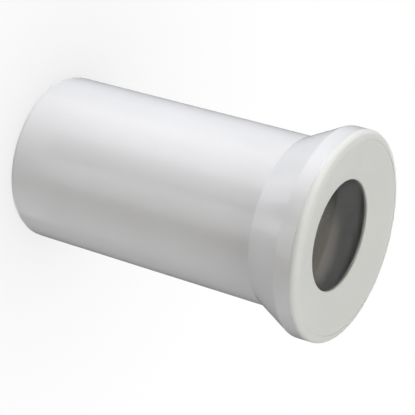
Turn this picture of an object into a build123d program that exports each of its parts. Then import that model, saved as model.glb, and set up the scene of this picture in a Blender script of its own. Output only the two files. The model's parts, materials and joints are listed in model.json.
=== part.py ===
from build123d import *
import os
from math import atan2, tan

# Straight toilet pan connector: a rigid soil pipe that flares into a collar, closed by a soft lip seal.
# It stands on its plain end. The origin is the centre of that end, and +Z runs up the pipe to the seal.
# Lengths are in millimetres.

# Pipe body: spigot, flare and collar, moulded in one piece with one wall thickness
pipe_radius = 55.0
wall = 3.2
spigot_length = 180.0
flare_length = 25.0
collar_radius = 67.75
collar_length = 10.0
lead_in_depth = 1.2
lead_in_height = 2.5

# Snap groove round the collar's bore: its upper side is square and keeps the seal in, its lower side slopes
snap_depth = 1.0
snap_height = 2.6
snap_below_rim = 3.0

# Slim axial rib on the pipe's bore, just below the neck
bore_rib_width = 1.2
bore_rib_height = 0.8
bore_rib_length = 16.0
bore_rib_below_neck = 1.0

# Seal: bead over the collar's rim, skirt inside the collar, and a dished membrane with a round hole
seal_clearance = 0.15
bead_height = 5.0
bead_width = 5.75
bead_edge_bevel = 0.4
bead_flat = 0.3
crown_fall = 1.6
step_depth = 0.8
dish_depth = 5.9
hole_radius = 35.6
hole_bevel = 0.9
membrane_wall = 2.4
skirt_wall = 2.6
skirt_length = 8.0
skirt_lead_bevel = 0.8

# Stations up the axis and radii that follow from the sizes above
neck_z = spigot_length
shoulder_z = neck_z + flare_length
rim_z = shoulder_z + collar_length
crown_z = rim_z + bead_height
bore_radius = pipe_radius - wall
collar_bore_radius = collar_radius - wall
flare_angle = atan2(collar_radius - pipe_radius, flare_length)
wall_rise = wall * tan(flare_angle / 2)
snap_radius = collar_bore_radius + snap_depth
snap_top_z = rim_z - snap_below_rim
snap_bottom_z = snap_top_z - snap_height

os.makedirs("parts", exist_ok=True)


# Pipe body: one turned profile, up the outside and down the bore
with BuildPart() as pipe_body:
    with BuildSketch(Plane.XZ):
        with BuildLine():
            Polyline(
                (pipe_radius - lead_in_depth, 0),
                (pipe_radius, lead_in_height),
                (pipe_radius, neck_z),
                (collar_radius, shoulder_z),
                (collar_radius, rim_z),
                (collar_bore_radius, rim_z),
                (collar_bore_radius, snap_top_z),
                (snap_radius, snap_top_z),
                (collar_bore_radius, snap_bottom_z),
                (collar_bore_radius, shoulder_z + wall_rise),
                (bore_radius, neck_z + wall_rise),
                (bore_radius, 0),
                close=True,
            )
        make_face()
    revolve(axis=Axis.Z)

    # The rib grows out of the bore's wall and stops short of the neck
    bore_rib_top_z = neck_z - bore_rib_below_neck
    bore_rib_root_radius = bore_radius + wall / 2
    with BuildSketch(Plane.XY.offset(bore_rib_top_z - bore_rib_length)):
        with Locations((bore_radius - bore_rib_height, 0)):
            Rectangle(
                bore_rib_height + bore_rib_root_radius - bore_radius,
                bore_rib_width,
                align=(Align.MIN, Align.CENTER),
            )
    extrude(amount=bore_rib_length)

pipe_body.part.label = "pipe_body"
export_step(pipe_body.part, "parts/pipe_body.step")


# Bead: its crown falls outwards to a rounding that leaves a short flat above the bevelled lower edge
step_radius = collar_radius - bead_width
bead_side = bead_height - crown_fall - bead_edge_bevel
bead_turn = atan2(bead_width, crown_fall)
bead_round = (bead_side - bead_flat) / tan(bead_turn / 2)

# Membrane: it lies a step below the crown, slopes in to the hole, and runs into the skirt at its root
face_edge_z = crown_z - step_depth
hole_front_z = face_edge_z - dish_depth
face_slope = dish_depth / (step_radius - hole_radius)
skirt_radius = collar_bore_radius - seal_clearance
skirt_bore_radius = skirt_radius - skirt_wall
skirt_end_z = rim_z - skirt_length
membrane_root_z = face_edge_z - face_slope * (step_radius - skirt_bore_radius) - membrane_wall

# Snap rib: the groove's own form, moved clear of it
snap_rib_radius = snap_radius - seal_clearance
snap_rib_top_z = snap_top_z - seal_clearance
snap_rib_bottom_z = snap_bottom_z - seal_clearance

# Pan seal: corners with their roundings, over the bead, across the face, under the membrane, up the skirt
seal_corners = [
    ((collar_radius - bead_edge_bevel, rim_z), 0),
    ((collar_radius, rim_z + bead_edge_bevel), 0),
    ((collar_radius, crown_z - crown_fall), bead_round),
    ((step_radius, crown_z), 0),
    ((step_radius, face_edge_z), 0),
    ((hole_radius + hole_bevel, hole_front_z + face_slope * hole_bevel), 0),
    ((hole_radius, hole_front_z - hole_bevel), 0),
    ((hole_radius, hole_front_z - membrane_wall), 0),
    ((skirt_bore_radius, membrane_root_z), 0),
    ((skirt_bore_radius, skirt_end_z), 0),
    ((skirt_radius - skirt_lead_bevel, skirt_end_z), 0),
    ((skirt_radius, skirt_end_z + skirt_lead_bevel), 0),
    ((skirt_radius, snap_rib_bottom_z), 0),
    ((snap_rib_radius, snap_rib_top_z), 0),
    ((skirt_radius, snap_rib_top_z), 0),
    ((skirt_radius, rim_z), 0),
]

with BuildPart() as pan_seal:
    with BuildSketch(Plane.XZ):
        with BuildLine():
            FilletPolyline(
                *[point for point, _ in seal_corners],
                radius=[rounding for _, rounding in seal_corners],
                close=True,
            )
        make_face()
    revolve(axis=Axis.Z)

pan_seal.part.label = "pan_seal"
export_step(pan_seal.part, "parts/pan_seal.step")

print(f"overall length {crown_z:.1f} mm, collar diameter {2 * collar_radius:.1f} mm")
print(f"pipe bore {2 * bore_radius:.1f} mm, seal hole {2 * hole_radius:.1f} mm")
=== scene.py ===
# %% [markdown]
# # A toilet pan connector
#
# The real object is a straight white soil pipe. One end is plain and slips into a drain's socket.
# The other end flares into a collar, and a soft off-white seal with a round hole closes it: the
# toilet's outlet is pushed through that hole. The pipe and the seal are two separate mouldings.
#
# The solids come measured and fixed from the CAD frame. This lesson gives them their looks: smooth
# turned surfaces, two finishes, a plain studio and a camera. It starts by loading the frame, because
# every later size is read from it or set against it. Blender counts in metres. Millimetres are easier
# to think in here, so sizes stay in millimetres until a mesh is made.

# %% Load the frame
import json
import math

import bmesh
import bpy
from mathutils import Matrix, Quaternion, Vector


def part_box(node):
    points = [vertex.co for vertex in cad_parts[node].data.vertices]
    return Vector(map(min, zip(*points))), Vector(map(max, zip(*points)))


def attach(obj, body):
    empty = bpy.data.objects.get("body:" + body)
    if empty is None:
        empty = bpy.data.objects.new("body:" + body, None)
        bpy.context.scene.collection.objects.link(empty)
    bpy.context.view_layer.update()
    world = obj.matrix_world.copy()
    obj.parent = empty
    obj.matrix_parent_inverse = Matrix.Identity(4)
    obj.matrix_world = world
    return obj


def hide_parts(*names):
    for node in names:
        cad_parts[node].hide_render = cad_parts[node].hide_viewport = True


mm = 0.001
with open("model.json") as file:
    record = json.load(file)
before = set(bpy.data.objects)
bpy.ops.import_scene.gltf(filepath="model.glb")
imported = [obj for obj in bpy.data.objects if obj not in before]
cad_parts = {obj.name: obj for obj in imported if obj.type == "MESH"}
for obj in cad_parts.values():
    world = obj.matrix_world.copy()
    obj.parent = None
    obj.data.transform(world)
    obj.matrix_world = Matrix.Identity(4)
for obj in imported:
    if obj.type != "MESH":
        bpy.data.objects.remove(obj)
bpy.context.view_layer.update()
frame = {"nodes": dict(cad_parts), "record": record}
print("solids:", sorted(frame["nodes"]))

# %% [markdown]
# ## Sizes from the frame
#
# The connector stands on its plain end, with +Z up the pipe. Its outer sizes are in the solids' boxes,
# and the spigot and the hole are mounts in the record, so nothing here is measured twice.

# %% Read the main sizes
mounts = {mount["name"]: mount for mount in frame["record"]["mounts"]}


def wall_span(name):
    """Radius of a round mount and the heights where its wall starts and ends, in mm."""
    mount = mounts[name]
    middle = mount["pos_m"][2] / mm
    half = mount["dims"]["length_mm"] / 2
    return mount["dims"]["r_mm"], middle - half, middle + half


pipe_radius, lead_in_height, neck_z = wall_span("soil_spigot")
hole_radius, membrane_back_z, _ = wall_span("pan_bore")
collar_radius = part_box("pipe_body")[1].x / mm
rim_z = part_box("pipe_body")[1].z / mm
skirt_end_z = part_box("pan_seal")[0].z / mm
crown_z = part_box("pan_seal")[1].z / mm
print(f"pipe {2 * pipe_radius:.1f}, collar {2 * collar_radius:.1f}, hole {2 * hole_radius:.1f} mm across")
print(f"neck at {neck_z:.1f}, rim at {rim_z:.1f}, crown of the seal at {crown_z:.1f} mm")

# %% [markdown]
# ## Soft corners
#
# Both pieces are turned forms: a flat outline swept once round the axis. No moulded corner is truly
# sharp, so an outline is given as corners with a rounding each, and a short arc is put in at every one.
# A Bevel modifier could round the finished mesh instead, but it gives every edge one width, and here a
# bead and a snap groove need very different ones.

# %% A helper that rounds a corner
arc_steps = 8


def arc_at(before, corner, after, rounding):
    """Points of the arc that rounds one corner of an outline, or the bare corner."""
    if not rounding:
        return [corner]
    start = (before - corner).normalized()
    end = (after - corner).normalized()
    half_angle = start.angle(end) / 2
    centre = corner + (start + end).normalized() * rounding / math.sin(half_angle)
    reach = rounding / math.tan(half_angle)
    first = corner + start * reach - centre
    last = corner + end * reach - centre
    heading = math.atan2(first.y, first.x)
    turn = math.remainder(math.atan2(last.y, last.x) - heading, math.tau)
    spokes = [heading + turn * step / arc_steps for step in range(arc_steps + 1)]
    return [centre + Vector((math.cos(spoke), math.sin(spoke))) * rounding for spoke in spokes]


print(f"each rounding is {arc_steps} steps")

# %% [markdown]
# ## Outlines
#
# The arcs are joined by straight runs. Smooth shading would bend the light on a long run that has points
# at its ends alone. So each run gets a row close to either arc, which holds it flat, and even rows between.

# %% A helper that draws an outline
longest_run = 8.0
hold_distance = 0.2


def rows_between(start, end):
    """Points along a straight run: one close to each end, and even rows between."""
    run = (end - start).length
    if run < 3 * hold_distance:
        return []
    inner = run - 2 * hold_distance
    count = max(1, math.ceil(inner / longest_run))
    places = [hold_distance + inner * step / count for step in range(count + 1)]
    return [start.lerp(end, place / run) for place in places]


def soft_outline(corners):
    """Closed outline from (radius, height, rounding) corners, in mm."""
    points = [Vector((radius, height)) for radius, height, _ in corners]
    after = points[1:] + points[:1]
    arcs = [
        arc_at(points[i - 1], points[i], after[i], rounding)
        for i, (_, _, rounding) in enumerate(corners)
    ]
    outline = []
    for arc, next_arc in zip(arcs, arcs[1:] + arcs[:1]):
        outline += arc
        outline += rows_between(arc[-1], next_arc[0])
    return outline


print(f"a straight run has a row at least every {longest_run:.0f} mm")

# %% [markdown]
# ## Turning an outline
#
# Blender's Screw modifier or bmesh's spin would sweep an outline round the axis. Writing the mesh point
# by point lets us choose the columns: they are even all the way round, apart from a few extra ones where
# a piece has a small feature of its own. A nudge can move a point in or out before it is placed, so such
# a feature is part of the same closed skin and not a second body pushed into it.

# %% A helper that turns an outline
columns = 288


def turned(name, outline, extra_angles=(), nudge=None):
    """A closed smooth mesh: the outline swept once round the Z axis."""
    angles = sorted({math.tau * i / columns for i in range(columns)} | set(extra_angles))
    points = []
    for angle in angles:
        for radius, height in outline:
            reach = radius + (nudge(radius, height, angle) if nudge else 0)
            points.append(Vector((reach * math.cos(angle), reach * math.sin(angle), height)) * mm)
    rows = len(outline)
    faces = []
    for i in range(len(angles)):
        here = i * rows
        there = (i + 1) % len(angles) * rows
        for j in range(rows):
            above = (j + 1) % rows
            faces.append((here + j, there + j, there + above, here + above))
    mesh = bpy.data.meshes.new(name)
    mesh.from_pydata(points, [], faces)
    shell = bmesh.new()
    shell.from_mesh(mesh)
    bmesh.ops.recalc_face_normals(shell, faces=shell.faces)
    shell.to_mesh(mesh)
    shell.free()
    mesh.shade_smooth()
    piece = bpy.data.objects.new(name, mesh)
    bpy.context.scene.collection.objects.link(piece)
    print(f"{name}: {len(mesh.vertices)} points, {len(mesh.polygons)} faces")
    return piece


print(f"{columns} even columns are {360 / columns:.2f} degrees apart")

# %% [markdown]
# ## The pipe's sizes
#
# Spigot, flare and collar are one moulding with one even wall, so the inside follows from the outside and
# the wall. Where the wall turns into the flare, its inner corner lies a little higher than its outer one.
# The collar's bore has a groove, which the seal snaps into.

# %% Work out the pipe's sizes
wall = 3.2
collar_length = 10.0
lead_in_depth = 1.2
snap_depth = 1.0
snap_height = 2.6
snap_below_rim = 3.0

bore_radius = pipe_radius - wall
collar_bore_radius = collar_radius - wall
shoulder_z = rim_z - collar_length
flare_angle = math.atan2(collar_radius - pipe_radius, shoulder_z - neck_z)
wall_rise = wall * math.tan(flare_angle / 2)
snap_top_z = rim_z - snap_below_rim
snap_bottom_z = snap_top_z - snap_height
print(f"bore {2 * bore_radius:.1f} mm across, flare at {math.degrees(flare_angle):.1f} degrees")

# %% [markdown]
# ## The rib in the bore
#
# A slim rib lies on the bore just below the neck. A bar laid on the bore could stand for it, but it would
# cut into the wall. Here the bore's own skin is nudged inwards over a narrow strip, and extra columns give
# the strip a rounded crest.

# %% Shape the rib
rib_half_width = 0.6
rib_height = 0.8
rib_length = 16.0
rib_below_neck = 1.0
rib_top_z = neck_z - rib_below_neck
rib_bottom_z = rib_top_z - rib_length
rib_columns = [side * across for side in (-1, 1) for across in (0.15, 0.3, 0.45, 0.55, 0.6, 0.65)]
rib_angles = [across / bore_radius % math.tau for across in rib_columns]


def bore_rib(radius, height, angle):
    """How far the rib moves a point of the skin, in mm (negative is inwards)."""
    on_bore = radius < bore_radius + rib_height
    along_rib = rib_bottom_z + hold_distance / 2 < height < rib_top_z
    across = bore_radius * math.remainder(angle, math.tau) / rib_half_width
    if on_bore and along_rib and abs(across) < 1:
        return -rib_height * math.sqrt(1 - across ** 2)
    return 0.0


print(f"rib {rib_length:.0f} mm long, {2 * rib_half_width:.1f} mm wide, {len(rib_angles)} extra columns")

# %% [markdown]
# ## The pipe
#
# The outline goes up the outside, over the rim and down the bore. The neck keeps a tight crease, and the
# shoulder above the flare rolls over softly, as the light on the real one shows. Inside, the wall rolls
# from the flare into the bore in one wide curve, with no line across it. One bare corner in the bore marks
# where the rib ends.

# %% Make the pipe
fine_edge = 0.1
small_edge = 0.2
bore_edge = 0.3
rim_edge = 0.35
lead_in_rounding = 0.6
neck_crease = 0.8
collar_root = 1.0
shoulder_roll = 4.0
inner_roll = 14.0
bare = 0

pipe_corners = [
    (pipe_radius - lead_in_depth, 0.0, small_edge),
    (pipe_radius, lead_in_height, lead_in_rounding),
    (pipe_radius, neck_z, neck_crease),
    (collar_radius, shoulder_z, shoulder_roll),
    (collar_radius, rim_z, rim_edge),
    (collar_bore_radius, rim_z, small_edge),
    (collar_bore_radius, snap_top_z, fine_edge),
    (collar_bore_radius + snap_depth, snap_top_z, fine_edge),
    (collar_bore_radius, snap_bottom_z, fine_edge),
    (collar_bore_radius, shoulder_z + wall_rise, collar_root),
    (bore_radius, neck_z + wall_rise, inner_roll),
    (bore_radius, rib_bottom_z, bare),
    (bore_radius, 0.0, bore_edge),
]
moulded_pipe = turned("moulded_pipe", soft_outline(pipe_corners), rib_angles, bore_rib)
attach(moulded_pipe, "root")
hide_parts("pipe_body")

# %% [markdown]
# ## The seal's sizes
#
# The seal is one soft moulding. A bead lies on the collar's rim, with a crown that falls outwards and
# rolls over the edge. A small step inside the bead drops to the membrane, which slopes in like a dish to
# the round hole. Behind it a skirt reaches into the collar and snaps into the groove. The skirt stands
# a little clear of the collar's bore, so the two skins never cross.

# %% Work out the seal's sizes
bead_width = 5.75
crown_fall = 1.6
step_depth = 0.8
dish_depth = 5.9
skirt_wall = 2.6
seal_clearance = 0.15

step_radius = collar_radius - bead_width
face_edge_z = crown_z - step_depth
hole_front_z = face_edge_z - dish_depth
face_slope = dish_depth / (step_radius - hole_radius)
membrane_wall = hole_front_z - membrane_back_z
skirt_radius = collar_bore_radius - seal_clearance
skirt_bore_radius = skirt_radius - skirt_wall
membrane_root_z = face_edge_z - face_slope * (step_radius - skirt_bore_radius) - membrane_wall
print(f"face {2 * step_radius:.1f} mm across, dished at {math.degrees(math.atan(face_slope)):.1f} degrees")

# %% [markdown]
# ## The seal
#
# The outline goes over the bead, down the dish to the hole, back along the membrane's rear and round the
# skirt. The bead's outer edge gets a wide roll, because the real one looks soft there. The corner at the
# step stays small, and shows as a fine line round the face.

# %% Make the seal
skirt_root = 0.05
step_root = 0.25
skirt_inner_edge = 0.3
crown_edge = 0.5
lip_back = 0.5
skirt_lead_in = 0.8
lip_front = 1.0
membrane_root = 1.5
bead_roll = 3.7

seal_corners = [
    (collar_radius, rim_z, rim_edge),
    (collar_radius, crown_z - crown_fall, bead_roll),
    (step_radius, crown_z, crown_edge),
    (step_radius, face_edge_z, step_root),
    (hole_radius, hole_front_z, lip_front),
    (hole_radius, membrane_back_z, lip_back),
    (skirt_bore_radius, membrane_root_z, membrane_root),
    (skirt_bore_radius, skirt_end_z, skirt_inner_edge),
    (skirt_radius, skirt_end_z, skirt_lead_in),
    (skirt_radius, snap_bottom_z - seal_clearance, fine_edge),
    (skirt_radius + snap_depth, snap_top_z - seal_clearance, fine_edge),
    (skirt_radius, snap_top_z - seal_clearance, fine_edge),
    (skirt_radius, rim_z, skirt_root),
]
lip_seal = turned("lip_seal", soft_outline(seal_corners))
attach(lip_seal, "root")
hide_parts("pan_seal")

# %% [markdown]
# ## Noise for the finishes
#
# Both finishes are made the same way: a Principled shader, and noise in the object's own millimetres
# that moves its colour, gloss and relief a little. Image textures would need an unwrap and would blur
# close up. Noise has neither trouble, and it looks the same from all sides.

# %% Helpers that start a finish
def new_finish(name):
    """A material with its node tree, its shader and a coordinate that is fixed to the object."""
    material = bpy.data.materials.new(name)
    material.use_nodes = True
    tree = material.node_tree
    place = tree.nodes.new("ShaderNodeTexCoord")
    return material, tree, tree.nodes["Principled BSDF"], place.outputs["Object"]


def noise(tree, coordinate, size, detail=2.0):
    """Noise whose blotches are about size mm across."""
    texture = tree.nodes.new("ShaderNodeTexNoise")
    texture.inputs["Scale"].default_value = 1 / (size * mm)
    texture.inputs["Detail"].default_value = detail
    tree.links.new(coordinate, texture.inputs["Vector"])
    return texture.outputs["Fac"]


print(f"noise with blotches of 1 mm has a scale of {1 / mm:.0f}")

# %% [markdown]
# ## From noise to colour, gloss and relief
#
# Noise runs from 0 to 1 but crowds round its middle. So only its middle part is spread over a range of
# colour or gloss, and both ends of the range are reached. For relief it goes into a Bump node: the ripple
# of a moulded skin is far too fine to be mesh.

# %% Helpers that use the noise
noise_low = 0.3
noise_high = 0.7


def tint(tree, factor, first, second, socket):
    """Sends noise to a colour socket as a blend of two close colours."""
    ramp = tree.nodes.new("ShaderNodeValToRGB")
    ramp.color_ramp.elements[0].position = noise_low
    ramp.color_ramp.elements[0].color = (*first, 1)
    ramp.color_ramp.elements[1].position = noise_high
    ramp.color_ramp.elements[1].color = (*second, 1)
    tree.links.new(factor, ramp.inputs["Fac"])
    tree.links.new(ramp.outputs["Color"], socket)


def between(tree, factor, low, high, socket):
    """Sends noise to a socket as values from low to high."""
    spread = tree.nodes.new("ShaderNodeMapRange")
    spread.inputs["From Min"].default_value = noise_low
    spread.inputs["From Max"].default_value = noise_high
    spread.inputs["To Min"].default_value = low
    spread.inputs["To Max"].default_value = high
    tree.links.new(factor, spread.inputs["Value"])
    tree.links.new(spread.outputs["Result"], socket)


def relief(tree, factor, depth, shader):
    """Sends noise to the shader as a bump of that depth in mm."""
    bump = tree.nodes.new("ShaderNodeBump")
    bump.inputs["Strength"].default_value = 1.0
    bump.inputs["Distance"].default_value = depth * mm
    tree.links.new(factor, bump.inputs["Height"])
    tree.links.new(bump.outputs["Normal"], shader.inputs["Normal"])


print(f"noise from {noise_low} to {noise_high} covers each range")

# %% [markdown]
# ## The pipe's plastic
#
# The pipe is a cool white moulded plastic with a clear gloss. Wide faint clouds in its colour and gloss
# keep the long plain wall from looking like paint on a screen, and a shallow ripple, a millimetre or two
# across, breaks up the highlight as the skin of a real moulding does.

# %% The pipe's plastic
cool_white = (0.829, 0.830, 0.838)
paler_white = (0.849, 0.850, 0.858)
cloud_size = 45.0
gloss_patch = 12.0
ripple_size = 1.6
ripple_depth = 0.004

plastic, tree, shader, coordinate = new_finish("moulded_plastic")
tint(tree, noise(tree, coordinate, cloud_size), cool_white, paler_white, shader.inputs["Base Color"])
between(tree, noise(tree, coordinate, gloss_patch), 0.13, 0.17, shader.inputs["Roughness"])
relief(tree, noise(tree, coordinate, ripple_size), ripple_depth, shader)
shader.inputs["IOR"].default_value = 1.49
moulded_pipe.data.materials.append(plastic)
print("plastic nodes:", len(tree.nodes))

# %% [markdown]
# ## The seal's rubber
#
# The seal is a warmer off-white rubber with a matte skin. It has a finer and deeper grain than the
# plastic, and a much rougher skin, so its face stays one plain tone while the pipe shines.

# %% The seal's rubber
cream = (0.765, 0.782, 0.756)
paler_cream = (0.785, 0.802, 0.776)
mottle_size = 25.0
matte_patch = 3.0
grain_size = 0.6
grain_depth = 0.006

rubber, tree, shader, coordinate = new_finish("seal_rubber")
tint(tree, noise(tree, coordinate, mottle_size), cream, paler_cream, shader.inputs["Base Color"])
between(tree, noise(tree, coordinate, matte_patch), 0.52, 0.60, shader.inputs["Roughness"])
relief(tree, noise(tree, coordinate, grain_size, detail=4.0), grain_depth, shader)
shader.inputs["IOR"].default_value = 1.5
lip_seal.data.materials.append(rubber)
print("rubber nodes:", len(tree.nodes))

# %% [markdown]
# ## The camera
#
# The photograph looks down on the seal and along the pipe, and it is turned so that the standing pipe
# seems to lie. So the camera is aimed first as if upright, by two angles, and then rolled about its own
# line of sight.

# %% Place the camera
photo_azimuth = math.radians(-101.4)
photo_elevation = math.radians(28.27)
photo_roll = math.radians(-106.07)
camera_aim = Vector((1.53, -6.33, 117.24)) * mm
camera_distance = 1047.9 * mm
camera_back = Vector((
    math.sin(photo_azimuth) * math.cos(photo_elevation),
    -math.cos(photo_azimuth) * math.cos(photo_elevation),
    math.sin(photo_elevation),
))
camera = bpy.data.objects.new("camera", bpy.data.cameras.new("camera"))
camera.data.lens = 141.3
camera.data.sensor_width = 36.0
camera.location = camera_aim + camera_back * camera_distance
camera.rotation_mode = "QUATERNION"
upright = (-camera_back).to_track_quat("-Z", "Y")
camera.rotation_quaternion = upright @ Quaternion((0, 0, 1), -photo_roll)
bpy.context.scene.collection.objects.link(camera)
bpy.context.scene.camera = camera
print("camera at", [round(place / mm) for place in camera.location], "mm")

# %% [markdown]
# ## Soft boxes
#
# A studio lights a glossy white thing with soft boxes, and a square area lamp is one. A sun lamp would
# draw hard shadows, and a lit picture of a room would need an image. Each box is placed by two angles and
# a distance in metres, and faces the middle of the connector. The camera doesn't see it.

# %% A helper for soft boxes
plain_light = (1.0, 1.0, 1.0)
box_aim = Vector((0, 0, crown_z / 2)) * mm


def soft_box(name, azimuth, elevation, distance, size, watts, colour=plain_light):
    """A square area lamp that faces the middle of the connector. Azimuth runs from +X to +Y."""
    lamp = bpy.data.objects.new(name, bpy.data.lights.new(name, "AREA"))
    lamp.data.shape = "SQUARE"
    lamp.data.size = size
    lamp.data.energy = watts
    lamp.data.color = colour
    turn = math.radians(azimuth)
    rise = math.radians(elevation)
    direction = Vector((math.cos(turn) * math.cos(rise), math.sin(turn) * math.cos(rise), math.sin(rise)))
    lamp.location = box_aim + direction * distance
    lamp.rotation_mode = "QUATERNION"
    lamp.rotation_quaternion = (-direction).to_track_quat("-Z", "Y")
    lamp.visible_camera = False
    bpy.context.scene.collection.objects.link(lamp)
    print(f"{name}: {watts:.1f} W at {[round(place, 2) for place in lamp.location]} m")


print(f"soft boxes face a point {crown_z / 2:.0f} mm up the pipe")

# %% [markdown]
# ## The lamps
#
# White on white needs its shading from the side. One soft box stands low beside the pipe, on the side
# that the photograph shows bright. It stays below the seal, so that it can't rake across the seal's face.
# A second one hangs over the seal and lights that face evenly. A small warm one beside it reaches through
# the hole and rakes across the bore, so that the rib there catches some light. Three more stand low: two
# faint ones open the front and the shaded side, and one lights the back.

# %% Set up the lamps
cool_light = (0.945, 0.957, 1.0)
warm_light = (1.0, 0.89, 0.71)
low_distance = 0.6
low_size = 0.2


def low_box(name, azimuth, watts, colour=plain_light):
    """A small soft box close by, level with the middle of the pipe."""
    soft_box(name, azimuth, 0, low_distance, low_size, watts, colour)


low_box("side_light", azimuth=105, watts=2.42, colour=cool_light)
soft_box("face_light", azimuth=180, elevation=80, distance=1.0, size=0.45, watts=4.95)
soft_box("bore_light", azimuth=144, elevation=54, distance=1.0, size=0.2, watts=1.05, colour=warm_light)
low_box("front_light", azimuth=180, watts=0.2)
low_box("shade_light", azimuth=252, watts=0.92)
low_box("back_light", azimuth=0, watts=1.25)

# %% [markdown]
# ## The room
#
# The connector stands in a white room. To light it, the room is dim and even, so that the lamps keep their
# shading. To the camera, and in gloss, it is plain white. The Light Path node tells the two apart, and a
# Mix Shader picks one look or the other.

# %% Make the room
white = (1, 1, 1, 1)
room_level = 0.06


def seen_directly(tree):
    """1 on rays from the camera, from gloss and through glass, and 0 on the rest."""
    path = tree.nodes.new("ShaderNodeLightPath")
    total = path.outputs["Is Camera Ray"]
    for name in ("Is Glossy Ray", "Is Transmission Ray"):
        either = tree.nodes.new("ShaderNodeMath")
        either.operation = "MAXIMUM"
        tree.links.new(total, either.inputs[0])
        tree.links.new(path.outputs[name], either.inputs[1])
        total = either.outputs["Value"]
    return total


def two_looks(tree, as_light, as_seen, output):
    """Ends a node tree with one look for the light it gives and one for what sees it directly."""
    choice = tree.nodes.new("ShaderNodeMixShader")
    tree.links.new(seen_directly(tree), choice.inputs["Fac"])
    tree.links.new(as_light, choice.inputs[1])
    tree.links.new(as_seen, choice.inputs[2])
    tree.links.new(choice.outputs["Shader"], tree.nodes[output].inputs["Surface"])


world = bpy.data.worlds.new("room")
bpy.context.scene.world = world
world.use_nodes = True
tree = world.node_tree
room_light = tree.nodes["Background"]
room_light.inputs["Color"].default_value = white
room_light.inputs["Strength"].default_value = room_level
white_room = tree.nodes.new("ShaderNodeBackground")
white_room.inputs["Color"].default_value = white
white_room.inputs["Strength"].default_value = 1.0
two_looks(tree, room_light.outputs["Background"], white_room.outputs["Background"], "World Output")
print(f"room: lights at {room_level}, looks white")

# %% [markdown]
# ## The floor
#
# The floor has two looks as well: it gives back the lamps' light as dull paper does, and it looks white to
# anything that sees it directly. A floor that only glows would lose the connector's shadow. In an even
# white room, a floor is darkest where the thing standing on it hides most of the room. The Ambient
# Occlusion node measures just that, so it sets the glow: white in the open, and a soft grey at the foot of
# the pipe, from every side.

# %% Make the floor
floor_half = 6.0
paper_grey = (0.6, 0.6, 0.6, 1)
shadow_reach = 0.25
shadow_samples = 16
most_hidden = 0.5
shadow_grey = 0.84

floor_corners = [(x * floor_half, y * floor_half, 0) for x, y in ((-1, -1), (1, -1), (1, 1), (-1, 1))]
floor_mesh = bpy.data.meshes.new("floor")
floor_mesh.from_pydata(floor_corners, [], [(0, 1, 2, 3)])
floor = bpy.data.objects.new("floor", floor_mesh)
bpy.context.scene.collection.objects.link(floor)

paper = bpy.data.materials.new("floor_paper")
paper.use_nodes = True
tree = paper.node_tree
tree.nodes.remove(tree.nodes["Principled BSDF"])
dull = tree.nodes.new("ShaderNodeBsdfDiffuse")
dull.inputs["Color"].default_value = paper_grey
openness = tree.nodes.new("ShaderNodeAmbientOcclusion")
openness.samples = shadow_samples
openness.inputs["Distance"].default_value = shadow_reach
shadow = tree.nodes.new("ShaderNodeMapRange")
shadow.inputs["From Min"].default_value = most_hidden
shadow.inputs["To Min"].default_value = shadow_grey
tree.links.new(openness.outputs["AO"], shadow.inputs["Value"])
glow = tree.nodes.new("ShaderNodeEmission")
tree.links.new(shadow.outputs["Result"], glow.inputs["Strength"])
two_looks(tree, dull.outputs["BSDF"], glow.outputs["Emission"], "Material Output")
floor_mesh.materials.append(paper)
print(f"floor {2 * floor_half:.0f} m square")

# %% [markdown]
# ## The shape of a card
#
# White plastic on a white ground loses its edges and its sheen. Here glowing cards on the floor, which only
# gloss sees, paint reflections into the pipe, as a photographer's cards would: painted sheen from the pale
# ones, painted dark edges from the dark ones. The cards follow the way a mirror would turn the camera's
# view:
# a point of the pipe's wall that faces some angle sends it off along twice that angle, less the camera's
# own.
# So each card is a fan that starts along a part of the pipe's foot and opens to the far floor. The card
# that goes round behind the pipe, out of the camera's sight, opens by one full turn less.

# %% A helper for the cards' shape
card_steps = 48
card_height = 0.5
card_reach = 2500.0
card_clearance = 1.0
card_start_radius = pipe_radius + card_clearance
view_heading = math.degrees(math.atan2(camera_back.y, camera_back.x))


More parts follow.
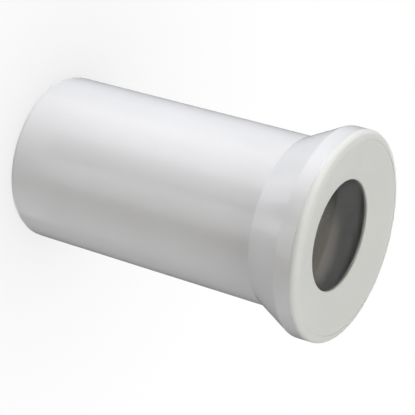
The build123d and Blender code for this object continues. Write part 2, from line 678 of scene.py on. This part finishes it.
def fan_mesh(name, first, last, gap):
    """A flat fan between two angles of the pipe's foot, which starts a gap in mm away from it."""
    span = (last - first) % 360
    opening = 2 * span % 360
    first_heading = 2 * first - view_heading
    points = []
    for step in range(card_steps + 1):
        share = step / card_steps
        spoke = math.radians(first + span * share)
        heading = math.radians(first_heading + opening * share)
        start = Vector((math.cos(spoke), math.sin(spoke), 0)) * card_start_radius
        outwards = Vector((math.cos(heading), math.sin(heading), 0))
        for reach in (gap, card_reach):
            points.append((start + outwards * reach + Vector((0, 0, card_height))) * mm)
    faces = [(2 * i, 2 * i + 1, 2 * i + 3, 2 * i + 2) for i in range(card_steps)]
    mesh = bpy.data.meshes.new(name)
    mesh.from_pydata(points, [], faces)
    return mesh


print(f"the camera stands at {view_heading:.1f} degrees round the pipe")

# %% [markdown]
# ## Cards that paint reflections
#
# Six cards make a ring, and each ends where the next one starts. Their glow is a painted reflection. Two
# dark ones paint dark reflections along the pipe's edges.
# Between them, pale and dark cards in turn lay bands of sheen along the pipe, as the photograph shows.
# These four start a little away from the pipe, so that the flare, which looks down at the floor close by,
# stays plain. Only gloss sees the cards. To the camera and to all other light the floor is bare.

# %% Lay the cards
def lay_reflection_card(name, first, last, gap, brightness):
    """A glowing card on the floor, which only gloss sees: a painted reflection of even brightness."""
    paint = bpy.data.materials.new(name)
    paint.use_nodes = True
    tree = paint.node_tree
    tree.nodes.remove(tree.nodes["Principled BSDF"])
    shine = tree.nodes.new("ShaderNodeEmission")
    shine.inputs["Strength"].default_value = brightness
    tree.links.new(shine.outputs["Emission"], tree.nodes["Material Output"].inputs["Surface"])
    mesh = fan_mesh(name, first, last, gap)
    mesh.materials.append(paint)
    card = bpy.data.objects.new(name, mesh)
    bpy.context.scene.collection.objects.link(card)
    card.visible_camera = False
    card.visible_diffuse = False
    card.visible_transmission = False
    card.visible_shadow = False
    print(f"{name}: from {first} to {last} degrees, brightness {brightness}")


# Each brightness is a painted reflection: pale cards paint sheen along the pipe, dark ones paint its dark
# edges.
close_by = 0.0
away = 35.0
card_ring = [
    ("dark_card", 222.0, close_by, 0.03),
    ("rim_card", 80.0, close_by, 0.14),
    ("pale_card", 125.5, away, 1.2),
    ("gap_card", 153.5, away, 0.0),
    ("streak_card", 171.0, away, 1.5),
    ("grey_card", 187.5, away, 0.41),
]
for (name, first, gap, brightness), following in zip(card_ring, card_ring[1:] + card_ring[:1]):
    lay_reflection_card(name, first, following[1], gap, brightness)

# %% [markdown]
# ## The last line
#
# The Standard view shows a colour as it is written.

# %% Set the view and finish
bpy.context.scene.view_settings.view_transform = "Standard"
